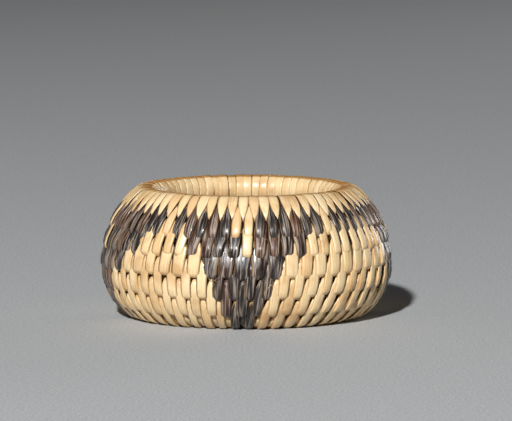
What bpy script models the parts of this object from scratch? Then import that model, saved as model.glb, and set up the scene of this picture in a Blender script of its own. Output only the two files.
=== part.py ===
"""Miniature coiled basket.

One bundle of grass, the foundation, winds in a spiral from the start knot in the
middle of the base out to the heel, up the wall and in again to the rim. Split
shoots, the splints, sew each turn to the next. On the wall a stitch is two turns
tall and the stitches of neighbouring turns interleave. On the base a stitch wraps
one turn. A pale splint sews the ground of each turn and a dark one the figures,
and the one that isn't sewing is carried on top of the bundle, inside the loops.

Metres, +Z up. The origin is on the axis, in the plane that the basket stands on.
"""

import math

import bpy
import bmesh
from mathutils import Vector

for old_object in list(bpy.data.objects):
    bpy.data.objects.remove(old_object, do_unlink=True)

# Outline of the wall, through the middle of the bundle
WIDEST_RADIUS = 0.0185
WIDEST_HEIGHT = 0.0073
SHOULDER_RADIUS = 0.0122
BELLY_RADIUS = 0.0074
HEEL_RADIUS = 0.0030
RIM_ANGLE = math.radians(48.5)

# The bundle: its turns, its thickness across the wall and the radius of the spiral's inner end
TURNS = 13.0
BUNDLE_ACROSS = 0.0020
TAIL_RADIUS = 0.00145

# It slims to a tip at the rim's end, is slimmer on the rim, and thins at its inner end
TIP_SHARE = 0.16
TIP_TURNS = 0.25
RIM_SHARE = 0.80
RIM_BLEND_TURNS = 0.25
TAIL_SHARE = 0.45
TAIL_TURNS = 0.20
BUNDLE_SIDES = 6
POINTS_PER_TURN = 24
POINT_BLEND_SHARE = 0.12

# The splints, and the play between them and what they lie on
SPLINT_THICK = 0.00022
CARRIED_THICK = 0.00016
CARRIED_WIDTH = 0.00040
PLAY = 0.00009

# Most of each turn's climb is made at the back, so that the front looks level
LEVELLING_SHARE = 0.90
BACK_ANGLE = math.radians(90.0)

# Stitches: the half stitch over a whole number makes the turns interleave
TALL_TURNS = 7
WALL_TURNS = 8
STITCHES_PER_TURN = 46.5
STITCH_LEAN = math.radians(8.0)
BASE_STITCH_SPACING = 0.0026
RIM_WIDTH_SHARE = 0.74
TOP_WIDTH_SHARE = 0.33
MIDDLE_WIDTH_SHARE = 0.52
BOTTOM_WIDTH_SHARE = 0.44
INSIDE_WIDTH_SHARE = 0.35
BASE_WIDTH_SHARE = 0.46
CORNER_THICK_SHARE = 1.25
INSIDE_TILT_SHARE = 0.55

# Where a splint leaves the bundle's top before a stitch, and comes back to it, in stitches
LEAVE_SHARE = 0.30
RETURN_SHARE = 1.40
CARRIED_SPARE_SHARE = 0.20

# The figures: five stepped triangles that point down, with a pale notch on top
FIGURES = 5
FRONT_ANGLE = math.radians(-90.0)
FIGURE_WIDTH_SHARES = (0.0, 0.83, 0.66, 0.42, 0.33, 0.25, 0.19, 0.10)
NOTCH_WIDTH_SHARES = (0.0, 0.17, 0.08, 0.0, 0.0, 0.0, 0.0, 0.0)

# The start knot, a comma that fills the middle of the spiral
KNOT_EDGE = 0.00020
KNOT_SLOT_POINTS = 2

# Colours, and how matt each material is
PALE = (0.78, 0.60, 0.36)
DARK = (0.055, 0.042, 0.038)
GRASS = (0.42, 0.25, 0.10)
SPLINT_ROUGHNESS = 0.55
GRASS_ROUGHNESS = 0.85

# The outline's arcs, worked out from the sizes above
SPLINT_SEAT = BUNDLE_ACROSS / 2 + PLAY
BASE_HEIGHT = SPLINT_SEAT + SPLINT_THICK
HEEL_START_ANGLE = math.asin((WIDEST_HEIGHT - BASE_HEIGHT - HEEL_RADIUS) / (BELLY_RADIUS - HEEL_RADIUS))
HEEL_CENTRE_RADIUS = WIDEST_RADIUS - BELLY_RADIUS + (BELLY_RADIUS - HEEL_RADIUS) * math.cos(HEEL_START_ANGLE)
SHOULDER_LENGTH = SHOULDER_RADIUS * RIM_ANGLE
HEEL_START = SHOULDER_LENGTH + BELLY_RADIUS * HEEL_START_ANGLE
BASE_START = HEEL_START + HEEL_RADIUS * (math.pi / 2 - HEEL_START_ANGLE)
SPIRAL_LENGTH = BASE_START + HEEL_CENTRE_RADIUS - TAIL_RADIUS


def smooth(value):
    """Ease from 0 to 1."""
    value = min(max(value, 0.0), 1.0)
    return value * value * (3 - 2 * value)


def outline(along):
    """Radius, height and facing angle of the wall's middle, at a length along it from the front rim."""
    if along < SHOULDER_LENGTH:
        facing = RIM_ANGLE - along / SHOULDER_RADIUS
        arc, centre_radius, centre_height = SHOULDER_RADIUS, WIDEST_RADIUS - SHOULDER_RADIUS, WIDEST_HEIGHT
    elif along < HEEL_START:
        facing = -(along - SHOULDER_LENGTH) / BELLY_RADIUS
        arc, centre_radius, centre_height = BELLY_RADIUS, WIDEST_RADIUS - BELLY_RADIUS, WIDEST_HEIGHT
    elif along < BASE_START:
        facing = -HEEL_START_ANGLE - (along - HEEL_START) / HEEL_RADIUS
        arc, centre_radius, centre_height = HEEL_RADIUS, HEEL_CENTRE_RADIUS, BASE_HEIGHT + HEEL_RADIUS
    else:
        return HEEL_CENTRE_RADIUS - (along - BASE_START), BASE_HEIGHT, -math.pi / 2
    return centre_radius + arc * math.cos(facing), centre_height + arc * math.sin(facing), facing


def facet_share(turn):
    """How far between two of the bundle's rings a place lies, and how far its chord is drawn in there."""
    step = math.tau / POINTS_PER_TURN
    share = (turn * POINTS_PER_TURN) % 1.0
    return share, math.cos(step / 2) / math.cos((share - 0.5) * step)


def place(turn, along, out):
    """A point at a turn's angle, a length along the wall and a distance out from its middle."""
    radius, height, facing = outline(along)
    angle = BACK_ANGLE - math.tau * turn
    reach = (radius + out * math.cos(facing)) * facet_share(turn)[1]
    return Vector((reach * math.cos(angle), reach * math.sin(angle), height + out * math.sin(facing)))


def directions(turn, along):
    """Down along the wall, out from it and round with it, true to the bundle's straight facets."""
    share = facet_share(turn)[0]
    facet_turn = turn
    if POINT_BLEND_SHARE < share < 1 - POINT_BLEND_SHARE:
        facet_turn = (math.floor(turn * POINTS_PER_TURN) + 0.5) / POINTS_PER_TURN
    angle = BACK_ANGLE - math.tau * facet_turn
    radius, _, facing = outline(along)
    down = Vector((math.sin(facing) * math.cos(angle), math.sin(facing) * math.sin(angle), -math.cos(facing)))
    out = Vector((math.cos(facing) * math.cos(angle), math.cos(facing) * math.sin(angle), math.sin(facing)))
    steepness = 1 + LEVELLING_SHARE * math.cos(math.tau * turn)
    slope = PITCH * steepness / (math.tau * radius)
    return down, out, (down.cross(out) + down * slope).normalized()


def climb(turn):
    """Turns gone down the wall, made mostly at the back. The front of the rim is at none."""
    return turn + LEVELLING_SHARE * math.sin(math.tau * turn) / math.tau - 0.5


# From one turn to the next: the bundle, the carried splint, this turn's splint and the one from above
PITCH = SPIRAL_LENGTH / climb(TURNS)
SEWN_LEVEL = PLAY + CARRIED_THICK + PLAY
HALF_ALONG = (PITCH - SEWN_LEVEL - SPLINT_THICK - PLAY - SPLINT_THICK - PLAY) / 2
HALF_ACROSS = BUNDLE_ACROSS / 2
LEAN_PER_LENGTH = math.tan(STITCH_LEAN) / (math.tau * WIDEST_RADIUS)


def bundle_share(turn):
    """The bundle's size as a share of the full one: thin at its two ends, slimmer on the rim."""
    share = 1.0
    if turn < 1:
        rim = 1 - (1 - RIM_SHARE) * smooth((1 - turn) / RIM_BLEND_TURNS)
        share = TIP_SHARE + (rim - TIP_SHARE) * smooth(turn / TIP_TURNS)
    tail = smooth((TURNS - turn) / TAIL_TURNS)
    return share * (TAIL_SHARE + (1 - TAIL_SHARE) * tail)


def bundle_middle(turn):
    """Length along the wall of the bundle's middle: a slim rim bundle rests on the turn below it."""
    middle = PITCH * climb(turn)
    if turn < 1:
        middle += HALF_ALONG * (1 - bundle_share(turn))
    return middle


def upper_edge(turn):
    """Length along the wall of the bundle's upper flat."""
    return bundle_middle(turn) - HALF_ALONG * bundle_share(turn)


def lower_edge(turn):
    """Length along the wall of the bundle's lower flat."""
    return bundle_middle(turn) + HALF_ALONG * bundle_share(turn)


def material(name, colour, roughness):
    finish = bpy.data.materials.new(name)
    finish.use_nodes = True
    shader = finish.node_tree.nodes["Principled BSDF"]
    shader.inputs["Base Color"].default_value = (*colour, 1.0)
    shader.inputs["Roughness"].default_value = roughness
    shader.inputs["Metallic"].default_value = 0.0
    finish.diffuse_color = (*colour, 1.0)
    return finish


def tube(name, rings, finish):
    """Skin closed rings of points, all of one count, into one closed body."""
    mesh = bmesh.new()
    skin = [[mesh.verts.new(corner) for corner in ring] for ring in rings]
    count = len(skin[0])
    for first, second in zip(skin, skin[1:]):
        for corner in range(count):
            after = (corner + 1) % count
            mesh.faces.new((first[corner], first[after], second[after], second[corner]))
    mesh.faces.new(skin[0][::-1])
    mesh.faces.new(skin[-1])
    bmesh.ops.triangulate(mesh, faces=mesh.faces)
    bmesh.ops.recalc_face_normals(mesh, faces=mesh.faces)
    data = bpy.data.meshes.new(name)
    mesh.to_mesh(data)
    mesh.free()
    piece = bpy.data.objects.new(name, data)
    bpy.context.scene.collection.objects.link(piece)
    piece.data.materials.append(finish)
    return piece


def foundation_coil(finish):
    """The grass bundle: one unbroken tube of six sides, flat where the turns face each other."""
    rings = []
    last = math.floor(TURNS * POINTS_PER_TURN)
    corner_reach = HALF_ALONG / math.sin(math.tau / BUNDLE_SIDES)
    for point in range(last + 1):
        turn = point / POINTS_PER_TURN
        share = bundle_share(turn)
        ring = []
        for side in range(BUNDLE_SIDES):
            round_angle = math.tau * side / BUNDLE_SIDES
            out = HALF_ACROSS * share * math.cos(round_angle)
            along = bundle_middle(turn) + corner_reach * share * math.sin(round_angle)
            ring.append(place(turn, along, out))
        rings.append(ring)
    gaps = []
    for point, ring in enumerate(rings[:-POINTS_PER_TURN]):
        below = rings[point + POINTS_PER_TURN]
        gaps.append(min((upper - lower).length for upper in ring for lower in below))
    print("foundation_coil: %.1f turns, least gap to itself %.2f mm" % (TURNS, min(gaps) * 1000))
    return tube("foundation_coil", rings, finish)


class Stitch:
    """One stitch: where it stands, how far to the next one, how many turns tall it is and its splint."""

    def __init__(self, turn, step, tall, splint):
        self.turn = turn
        self.step = step
        self.tall = tall
        self.splint = splint

    def leaned(self, rows):
        """The turn at which the leaning stitch crosses a level, counted in turns down from its own."""
        along = PITCH * (climb(self.turn) + rows)
        return self.turn + LEAN_PER_LENGTH * min(along, BASE_START)


def is_dark(turn):
    """Whether the figures cover a stitch."""
    row = math.floor(turn)
    if row >= len(FIGURE_WIDTH_SHARES):
        return False
    angle = BACK_ANGLE - math.tau * turn
    figure = (angle - FRONT_ANGLE) / (math.tau / FIGURES)
    off_centre = abs(figure - round(figure)) * 2
    return NOTCH_WIDTH_SHARES[row] <= off_centre < FIGURE_WIDTH_SHARES[row]


def all_stitches():
    """Every stitch from the rim's end to the start knot, each with the splint that sews it."""
    stitches = []
    step = 1 / STITCHES_PER_TURN
    turn = step / 2
    while turn < WALL_TURNS:
        tall = 2 if turn < TALL_TURNS else 1
        colour = "dark" if is_dark(turn) else "light"
        splint = "%s_splint_turn_%02d" % (colour, math.floor(turn) + 1)
        stitches.append(Stitch(turn, step, tall, splint))
        turn += step
    turn = WALL_TURNS + step / 2
    while True:
        step = BASE_STITCH_SPACING / (math.tau * outline(bundle_middle(turn))[0])
        if turn + step > TURNS:
            break
        splint = "light_splint_turn_%02d" % (math.floor(turn) + 1)
        stitches.append(Stitch(turn, step, 0, splint))
        turn += step
    return stitches


def section(turn, along, out, face_down, face_out, width, thick):
    """One cross-section to be: its place, the ways that its ridge and side face, its width and thickness."""
    down_way, out_way, round_way = directions(turn, along)
    ridge = (down_way * face_down + out_way * face_out).normalized()
    return place(turn, along, out), ridge, round_way, width, thick


def carried(turn):
    """The idle splint on top of the bundle."""
    along = upper_edge(turn) - PLAY
    down_way, out_way, _ = directions(turn, along)
    return place(turn, along, 0.0), -down_way, out_way, CARRIED_WIDTH, CARRIED_THICK


def spacing_at(stitch, along, out):
    """Real distance between stitches at a place on the wall."""
    radius, _, facing = outline(along)
    return math.tau * (radius + out * math.cos(facing)) * stitch.step


def lifted_middle(turn, top_along, bottom_along, middle_along):
    """How far out the middle of a tall stitch stands, to pass clear over the two turns that it spans."""
    def flat(along, out):
        radius, height, facing = outline(along)
        return Vector((radius + out * math.cos(facing), height + out * math.sin(facing)))

    middle = flat(middle_along, 0.0)
    facing = outline(middle_along)[2]
    out_way = Vector((math.cos(facing), math.sin(facing)))
    reach = SPLINT_SEAT
    for corner_along, coil_turn in ((top_along, turn), (bottom_along, turn + 1)):
        corner = flat(corner_along, SPLINT_SEAT)
        run = flat(bundle_middle(coil_turn), SPLINT_SEAT) - corner
        gap = middle - corner
        reach = max(reach, -(run.x * gap.y - run.y * gap.x) / (run.x * out_way.y - run.y * out_way.x))
    return reach


def wall_stitch(stitch):
    """A stitch on the wall: down the outside, in under its lower turn, up the inside, to its next top."""
    corner_thick = SPLINT_THICK * CORNER_THICK_SHARE
    below = stitch.tall - 1
    top = stitch.leaned(-0.5)
    middle = stitch.leaned(0.5)
    bottom = stitch.leaned(below + 0.5)
    top_along = upper_edge(top) - SEWN_LEVEL
    bottom_along = lower_edge(bottom + below) + PLAY
    middle_along = (lower_edge(middle) + upper_edge(middle + 1)) / 2
    bottom_share = BOTTOM_WIDTH_SHARE
    if stitch.turn > TALL_TURNS - 1:
        bottom_share = INSIDE_WIDTH_SHARE
    top_share, inner_top_share = TOP_WIDTH_SHARE, INSIDE_WIDTH_SHARE
    if stitch.turn < 1:
        top_share = inner_top_share = RIM_WIDTH_SHARE
    width = spacing_at(stitch, top_along, SPLINT_SEAT) * top_share
    sections = [section(top, top_along, SPLINT_SEAT, -1, 1, width, corner_thick)]
    if stitch.tall == 2:
        reach = lifted_middle(middle, top_along, bottom_along, middle_along)
    else:
        middle = stitch.leaned(0.0)
        middle_along = bundle_middle(middle)
        reach = SPLINT_SEAT + PLAY / 2
    width = spacing_at(stitch, middle_along, reach) * MIDDLE_WIDTH_SHARE
    sections.append(section(middle, middle_along, reach, 0, 1, width, SPLINT_THICK))
    _, bottom_height, bottom_facing = outline(bottom_along)
    outer = SPLINT_SEAT
    if bottom_facing < 0:
        outer = min(outer, (bottom_height - corner_thick) / -math.sin(bottom_facing))
    width = spacing_at(stitch, bottom_along, outer) * bottom_share
    sections.append(section(bottom, bottom_along, outer, 1, 1, width, corner_thick))
    inner_bottom = bottom + stitch.step / 2
    inner_top = top + stitch.step / 2
    bottom_along = lower_edge(inner_bottom + below) + PLAY
    top_along = upper_edge(inner_top) - SEWN_LEVEL
    tilt = INSIDE_TILT_SHARE
    width = spacing_at(stitch, bottom_along, -SPLINT_SEAT) * INSIDE_WIDTH_SHARE
    sections.append(section(inner_bottom, bottom_along, -SPLINT_SEAT, tilt, -1, width, SPLINT_THICK))
    width = spacing_at(stitch, top_along, -SPLINT_SEAT) * inner_top_share
    sections.append(section(inner_top, top_along, -SPLINT_SEAT, -tilt, -1, width, SPLINT_THICK))
    return sections


def base_stitch(stitch):
    """A stitch on the base: a wrap round one turn, its flat side out, in the plane of the foot below."""
    outer_turn = stitch.leaned(0.0)
    near_radius = outline(lower_edge(outer_turn))[0]
    far_radius = outline(upper_edge(outer_turn))[0]
    inner_turn = outer_turn + stitch.step * far_radius / (near_radius + far_radius)
    seat = SPLINT_SEAT + SPLINT_THICK
    corners = ((outer_turn, 1, -1), (outer_turn, 1, 1), (inner_turn, -1, 1), (inner_turn, -1, -1))
    sections = []
    for turn, side, edge in corners:
        if edge < 0:
            along = upper_edge(turn) - SEWN_LEVEL - SPLINT_THICK
        else:
            along = lower_edge(turn) + PLAY + SPLINT_THICK
        _, height, facing = outline(along)
        out = height / -math.sin(facing) if side > 0 else -seat
        width = spacing_at(stitch, along, out) * BASE_WIDTH_SHARE
        width = min(width, BASE_STITCH_SPACING * BASE_WIDTH_SHARE)
        sections.append(section(turn, along, out, edge, side, width, -SPLINT_THICK))
    return sections


def splint_route(stitches, name):
    """The sections of one splint: its own stitches, carried on the bundle past those of the other."""
    mine = [index for index, stitch in enumerate(stitches) if stitch.splint == name]
    sections = []
    carried_from = None
    for index in mine:
        stitch = stitches[index]
        top = stitch.leaned(-0.5)
        starts = index == 0 or stitches[index - 1].splint != name
        ends = index + 1 == len(stitches) or stitches[index + 1].splint != name
        if starts:
            out_turn = top - LEAVE_SHARE * stitch.step
            if carried_from is not None:
                spare = CARRIED_SPARE_SHARE * stitch.step
                ring = math.ceil((carried_from + spare) * POINTS_PER_TURN)
                while ring / POINTS_PER_TURN < out_turn - spare:
                    sections.append(carried(ring / POINTS_PER_TURN))
                    ring += 1
            sections.append(carried(out_turn))
        sections.extend(wall_stitch(stitch) if stitch.tall else base_stitch(stitch))
        if ends:
            carried_from = top + RETURN_SHARE * stitch.step
            if carried_from < TURNS:
                sections.append(carried(carried_from))
    return sections


def splint(name, sections, finish):
    """A splint along its route: a flat strip with a low ridge, three corners to a section."""
    rings = []
    for index, (point, ridge, side, width, thick) in enumerate(sections):
        before = sections[max(index - 1, 0)][0]
        after = sections[min(index + 1, len(sections) - 1)][0]
        into = (point - before).normalized()
        onward = (after - point).normalized()
        if (into + onward).cross(ridge).dot(side) < 0:
            side = -side
        corners = [point - side * (width / 2), point + side * (width / 2), point + ridge * thick]
        for corner in corners:
            corner.z = max(corner.z, 0.0)
        rings.append(corners)
    return tube(name, rings, finish)


def start_knot(finish):
    """The knotted end of the bundle that the spiral starts from: a comma inside the last turn's stitches."""
    mesh = bmesh.new()
    last = math.floor(TURNS * POINTS_PER_TURN)
    foot = []
    for point in range(last - POINTS_PER_TURN + KNOT_SLOT_POINTS, last + 1):
        turn = point / POINTS_PER_TURN
        edge = place(turn, lower_edge(turn) + PLAY + SPLINT_THICK + PLAY + PLAY, 0.0)
        foot.append(mesh.verts.new((edge.x, edge.y, 0.0)))
    base = mesh.faces.new(foot)
    raised = bmesh.ops.extrude_face_region(mesh, geom=[base])["geom"]
    top = [vert for vert in raised if isinstance(vert, bmesh.types.BMVert)]
    bmesh.ops.translate(mesh, vec=(0.0, 0.0, BASE_HEIGHT * 2), verts=top)
    mesh.normal_update()
    rims = [edge for edge in mesh.edges if abs(edge.verts[0].co.z - edge.verts[1].co.z) < KNOT_EDGE]
    bmesh.ops.bevel(mesh, geom=rims, offset=KNOT_EDGE, segments=1, profile=0.5, affect="EDGES")
    bmesh.ops.recalc_face_normals(mesh, faces=mesh.faces)
    data = bpy.data.meshes.new("start_knot")
    mesh.to_mesh(data)
    mesh.free()
    piece = bpy.data.objects.new("start_knot", data)
    bpy.context.scene.collection.objects.link(piece)
    piece.data.materials.append(finish)
    return piece


grass = material("grass_bundle", GRASS, GRASS_ROUGHNESS)
foundation_coil(grass)
start_knot(grass)
stitches = all_stitches()
for name in sorted({stitch.splint for stitch in stitches}):
    colour = DARK if name.startswith("dark") else PALE
    splint(name, splint_route(stitches, name), material(name, colour, SPLINT_ROUGHNESS))
triangles = sum(len(piece.data.loop_triangles) or len(piece.data.polygons) for piece in bpy.data.objects)
print("stitches %d, triangles %d" % (len(stitches), triangles))
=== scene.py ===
"""Looks of the miniature coiled basket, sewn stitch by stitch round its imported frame."""

import math
import random

import bmesh
import bpy
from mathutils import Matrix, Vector


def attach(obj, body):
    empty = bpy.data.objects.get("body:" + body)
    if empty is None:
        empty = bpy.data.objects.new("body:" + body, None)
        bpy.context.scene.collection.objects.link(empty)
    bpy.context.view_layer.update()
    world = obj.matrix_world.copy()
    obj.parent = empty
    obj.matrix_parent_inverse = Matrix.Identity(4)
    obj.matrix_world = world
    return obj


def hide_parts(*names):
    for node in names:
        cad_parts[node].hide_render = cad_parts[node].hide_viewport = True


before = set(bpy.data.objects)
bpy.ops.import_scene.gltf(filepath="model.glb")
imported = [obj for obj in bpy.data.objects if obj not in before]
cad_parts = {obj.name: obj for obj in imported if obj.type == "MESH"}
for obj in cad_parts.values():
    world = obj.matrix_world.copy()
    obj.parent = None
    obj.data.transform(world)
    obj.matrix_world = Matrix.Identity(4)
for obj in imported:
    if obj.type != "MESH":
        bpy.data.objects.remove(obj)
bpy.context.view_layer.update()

bl_info = {
    "name": "Miniature coiled basket",
    "version": (1, 0, 0),
    "blender": (4, 5, 0),
    "location": "View3D > Sidebar > Basket",
    "description": "Sews a miniature coiled basket with pale and dark splints",
    "category": "Object",
}

MM = 0.001
FRONT = math.radians(-90.0)
BACK = math.radians(90.0)

# The wall's middle line from the front of the rim to the middle of the base, as arcs. The spiral ends
# at the tail's radius from the axis. The curve that the node trees sample starts a lead before the rim.
RIM_ANGLE = math.radians(48.5)
SHOULDER_RADIUS = 12.2 * MM
BELLY_RADIUS = 7.4 * MM
HEEL_RADIUS = 3.0 * MM
WALL_HALF = 1.31 * MM
TAIL_RADIUS = 1.45 * MM
PROFILE_LEAD = 2.4 * MM
PROFILE_STEP = 0.12 * MM

# The spiral: it starts at the back and passes the front half a turn later, nearly level there,
# with most of each turn's climb made at the back
TURNS = 13.0
FRONT_TURN = 0.5
LEVELLING_SHARE = 0.90

# The grass bundle: a ring of stems twisted together, that slims towards the rim's end and in the knot
COIL_POINTS_PER_TURN = 48
STEMS = 9
STEM_SIDES = 5
STEM_TWIST = 5.0
STEM_RADIUS = 0.35 * MM
STEMS_ACROSS = 0.60 * MM
STEMS_ALONG = 0.95 * MM
TIP_TURNS = 0.35
TIP_SHARE = 0.30
KNOT_TURNS = 1.35
KNOT_SHARE = 0.55

# Stitches in each turn, from the rim to the start knot, how far they are moved on as a share of a
# step, and how full they are; those of the third turn stand a little further to the right
STITCH_COUNTS = (70, 70, 65, 55, 55, 55, 55, 50, 40, 30, 20, 12, 8)
HALF_STEP_SHARES = (0.0, 0.5, 0.0, 0.0, 0.5, 0.0, 0.5, 0.0, 0.5, 0.0, 0.5, 0.0, 0.5)
THIRD_TURN_ROW = 2
THIRD_TURN_OFFSET = math.radians(1.8)
FULLNESS_SHARES = (1.10, 1.0, 1.16, 1.22, 1.0, 1.0, 1.0, 1.1, 1.15, 1.2, 1.25, 1.35, 1.35)

# Where a stitch ends below its turn and how tall it is, both in turns; from the base's second row
# on the stitches are taller
END_ROWS = 1.17
TALL_ROWS = 2.0
BASE_TALL_ROWS = 2.3

# How far the upper part of a stitch moves into the gap above, between the lower parts of two others,
# where both turns have as many stitches, and which share of the way down these parts lie
GAP_SEEKING_SHARE = 0.35
UPPER_SHARE = 0.25
LOWER_SHARE = 0.75

# How the stitches lean, in the upper and the lower turns, on the average and more or less to the
# sides, and from which row and over how many rows the one passes into the other
UPPER_LEAN = math.radians(3.0)
UPPER_LEAN_SWING = math.radians(-6.0)
LOWER_LEAN = math.radians(6.0)
LOWER_LEAN_SWING = math.radians(15.0)
LEAN_CHANGE_ROW = 1.5
LEAN_CHANGE_ROWS = 2.5

# How uneven the hand has made the stitches, with a wave in their lower ends that moves on by an
# angle from row to row
SEED = 11
LEAN_SPREAD = math.radians(1.8)
PLACE_SPREAD_SHARE = 0.035
END_SPREAD = 0.06 * MM
ROW_WAVE = 0.10 * MM
ROW_WAVES_ROUND = 3
ROW_WAVE_TURN = 1.7
FULLNESS_SPREAD = 0.05
LIFT_SPREAD = 0.03 * MM
TWIST_SPREAD = 0.04 * MM

# The basket isn't quite round: two waves go round it, each by this share of its radius
WOBBLE_SHARE = 0.0035
SLOW_WAVES_ROUND = 2.0
SLOW_WAVE_START = 0.9
QUICK_WAVES_ROUND = 5.0
QUICK_WAVE_START = 2.1

# The figures: where each stands, in degrees round from the front, and its extra stitches before and
# after in each turn
FIGURE_OFFSET = math.radians(-1.2)
NO_EXTRA = (0, 0, 0, 0, 0, 0, 0, 0)
FIGURES = (
    (0, NO_EXTRA, NO_EXTRA),
    (94, (0, 4, 0, 0, 0, 0, 0, 0), NO_EXTRA),
    (157, NO_EXTRA, NO_EXTRA),
    (220, NO_EXTRA, NO_EXTRA),
    (282, NO_EXTRA, (0, 1, 1, 1, 0, 0, 0, 0)),
)

# The first and last dark stitch of a figure and the half width of its pale notch, in each turn,
# counted in stitches from its middle; a stitch belongs to it as far as half a step beyond
HALF_STEP = 0.5
FIGURE_SPANS = (
    (0.0, -1.0), (-5.5, 6.5), (-4.0, 4.0), (-2.0, 2.0),
    (-1.5, 1.5), (-1.0, 1.0), (-0.5, 0.5), (0.0, 0.0),
)
NOTCH_SPANS = (0.0, 0.6, 0.1, -1.0, -1.0, -1.0, -1.0, -1.0)

# A stitch's loop, ring by ring, down the outside and up the inside: share of the way down, shift
# down and stand-off as shares of the wall's half thickness, the way that it faces in degrees, and
# its breadth as a share of the spacing
RIM_SHARES = (
    (0.00, -1.37, 0.12, -64, 1.06),
    (0.00, -0.80, 0.66, -50, 1.05),
    (0.03, -0.30, 0.98, -20, 1.03),
    (0.22, 0.00, 1.03, -3, 0.98),
    (0.42, 0.00, 1.04, 0, 0.84),
    (0.62, 0.00, 1.02, 2, 0.62),
    (0.80, 0.00, 0.98, 5, 0.40),
    (0.93, 0.00, 0.90, 20, 0.22),
    (1.00, 0.00, 0.50, 80, 0.12),
    (0.93, 0.00, -0.80, 150, 0.60),
    (0.72, 0.00, -1.40, 176, 0.98),
    (0.45, 0.00, -2.00, 187, 1.12),
    (0.05, -0.81, -1.80, 206, 1.16),
    (0.00, -1.25, -1.27, 228, 1.16),
    (0.00, -1.52, -0.57, 256, 1.12),
)
TOOTH_SHARES = (
    (0.00, 0.00, 0.55, -75, 0.05),
    (0.06, 0.00, 0.86, -30, 0.10),
    (0.16, 0.00, 0.94, -6, 0.28),
    (0.29, 0.00, 0.97, 0, 0.54),
    (0.43, 0.00, 1.01, 0, 0.80),
    (0.56, 0.00, 1.05, 0, 0.90),
    (0.72, 0.00, 1.08, 2, 0.86),
    (0.88, 0.00, 1.06, 16, 0.76),
    (0.965, 0.00, 0.92, 48, 0.64),
    (1.00, 0.00, 0.45, 85, 0.40),
    (0.97, 0.00, -0.70, 135, 0.60),
    (0.60, 0.00, -0.98, 180, 0.78),
    (0.10, 0.00, -0.80, 215, 0.45),
)
WALL_SHARES = (
    (0.00, 0.00, 0.35, -75, 0.20),
    (0.04, 0.00, 0.76, -35, 0.30),
    (0.15, 0.00, 0.90, -6, 0.50),
    (0.30, 0.00, 0.94, 0, 0.76),
    (0.50, 0.00, 0.99, 0, 0.70),
    (0.72, 0.00, 1.08, 2, 0.67),
    (0.88, 0.00, 1.08, 16, 0.65),
    (0.965, 0.00, 0.94, 48, 0.58),
    (1.00, 0.00, 0.45, 85, 0.42),
    (0.97, 0.00, -0.70, 135, 0.66),
    (0.70, 0.00, -0.98, 180, 0.90),
    (0.30, 0.00, -0.90, 182, 0.88),
    (0.02, 0.00, -0.60, 230, 0.50),
)
BASE_SHARES = (
    (0.00, 0.00, 0.45, -75, 0.55),
    (0.04, 0.00, 0.70, -35, 0.78),
    (0.15, 0.00, 0.78, -6, 0.95),
    (0.30, 0.00, 0.81, 0, 1.00),
    (0.50, 0.00, 0.88, 0, 0.92),
    (0.72, 0.00, 1.05, 2, 0.74),
    (0.88, 0.00, 1.05, 16, 0.70),
    (0.965, 0.00, 0.92, 48, 0.62),
    (1.00, 0.00, 0.45, 85, 0.50),
    (0.97, 0.00, -0.70, 135, 0.72),
    (0.70, 0.00, -0.98, 180, 0.96),
    (0.30, 0.00, -0.90, 182, 0.96),
    (0.02, 0.00, -0.60, 230, 0.62),
)
FIBRE_SHARES = (
    (0.00, 0.00, 0.98, 0, 0.9),
    (0.30, 0.00, 1.10, 0, 1.0),
    (0.65, 0.00, 1.19, 0, 0.8),
    (1.00, 0.00, 1.34, 0, 0.2),
    (0.65, 0.00, 1.14, 180, 0.6),
    (0.30, 0.00, 1.05, 180, 0.8),
)

# Rows by their loops, counted from the rim's at 0, and the thickness of the rim's splints as a share
# of that of the others
TOOTH_ROWS = (1,)
POINTED_ROWS = (2, 3)
FIRST_WALL_ROW = 4
FIRST_BASE_ROW = 7
RIM_THIN_SHARE = 0.55

# The pale stitches of the pointed rows narrow at the top, from this share of their height to a tip
# of this share of their breadth
POINT_LENGTH_SHARE = 0.16
POINT_WIDTH_SHARE = 0.20

# A splint's section: each corner's place across it and its rise, as shares of its half width and
# half thickness
SECTION_SHARES = ((1.0, 0.0), (0.6, 0.8), (-0.6, 0.8), (-1.0, 0.0), (0.0, -0.6))

# Frayed fibres: angle from the front in degrees, then in mm the place along the wall and how far the
# fibre goes down and round; after them, the smaller ones that are scattered on the wall
FRAYS = (
    (-15.0, 10.2, 0.9, 1.2), (-13.5, 10.3, 0.4, 1.6), (-12.0, 10.6, -0.5, 0.9),
    (7.5, 10.9, 0.5, 1.5), (10.5, 10.8, 0.8, -0.8), (9.0, 11.1, -0.3, 1.3),
    (4.0, -0.9, 0.1, 2.6), (-84.0, 1.6, -1.4, 0.6), (-80.0, 2.2, -1.2, -0.7),
)
FIBRE_LENGTH = (0.5 * MM, 1.5 * MM)
FIBRE_WIDTH = 0.06 * MM
FIBRE_THICK = 0.03 * MM
FIBRE_BOW_SPREAD = 0.2
WALL_START = 1.0 * MM
WALL_END = 17.0 * MM

# Grain along a splint: streaks this wide and long, on a splint of this half width and a stitch of
# this height. The real fibres are a few hundredths of a millimetre wide, and are drawn coarser so
# that they show. The grain of two splints lies this far apart in the noise.
SPLINT_HALF_WIDTH = 0.72 * MM
STITCH_HEIGHT = 5.04 * MM
WILLOW_STREAK = (0.16 * MM, 3.6 * MM)
POD_STREAK = (0.18 * MM, 3.15 * MM)
GRAIN_APART = 97.0

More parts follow.
